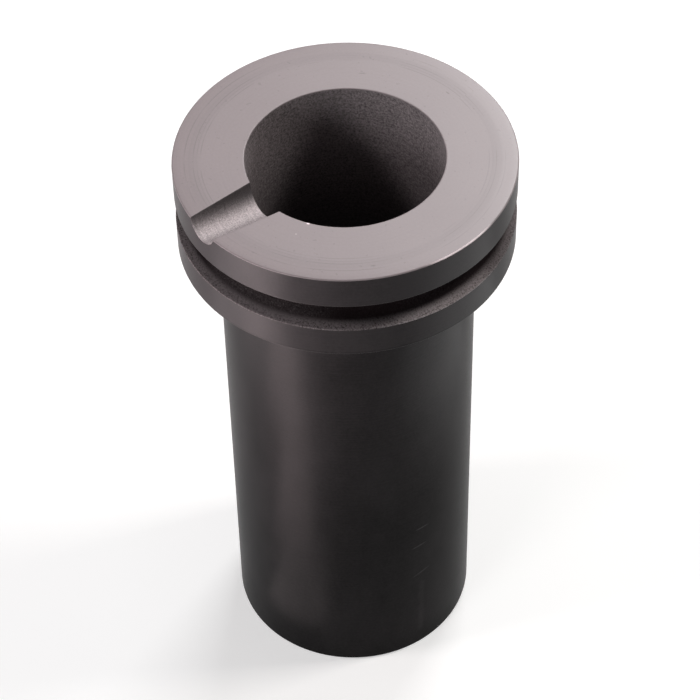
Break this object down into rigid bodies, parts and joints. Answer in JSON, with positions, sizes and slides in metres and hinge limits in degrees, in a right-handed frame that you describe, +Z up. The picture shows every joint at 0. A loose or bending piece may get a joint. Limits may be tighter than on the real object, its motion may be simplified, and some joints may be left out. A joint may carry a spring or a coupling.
{
  "type": "foundry crucible",
  "caption": "Graphite melting crucible with a straight barrel, a flanged head grooved for tongs, a deep bore and a pouring channel.",
  "frame": {"origin": "middle of the flat base", "axes": "+Z up along the crucible's axis, the pouring channel points along -Y"},
  "size_m": [0.058, 0.058, 0.111],
  "materials": {
    "graphite": "fine turned graphite, satin"
  },
  "bodies": {
    "root": {"crucible": "graphite"}
  },
  "joints": []
}
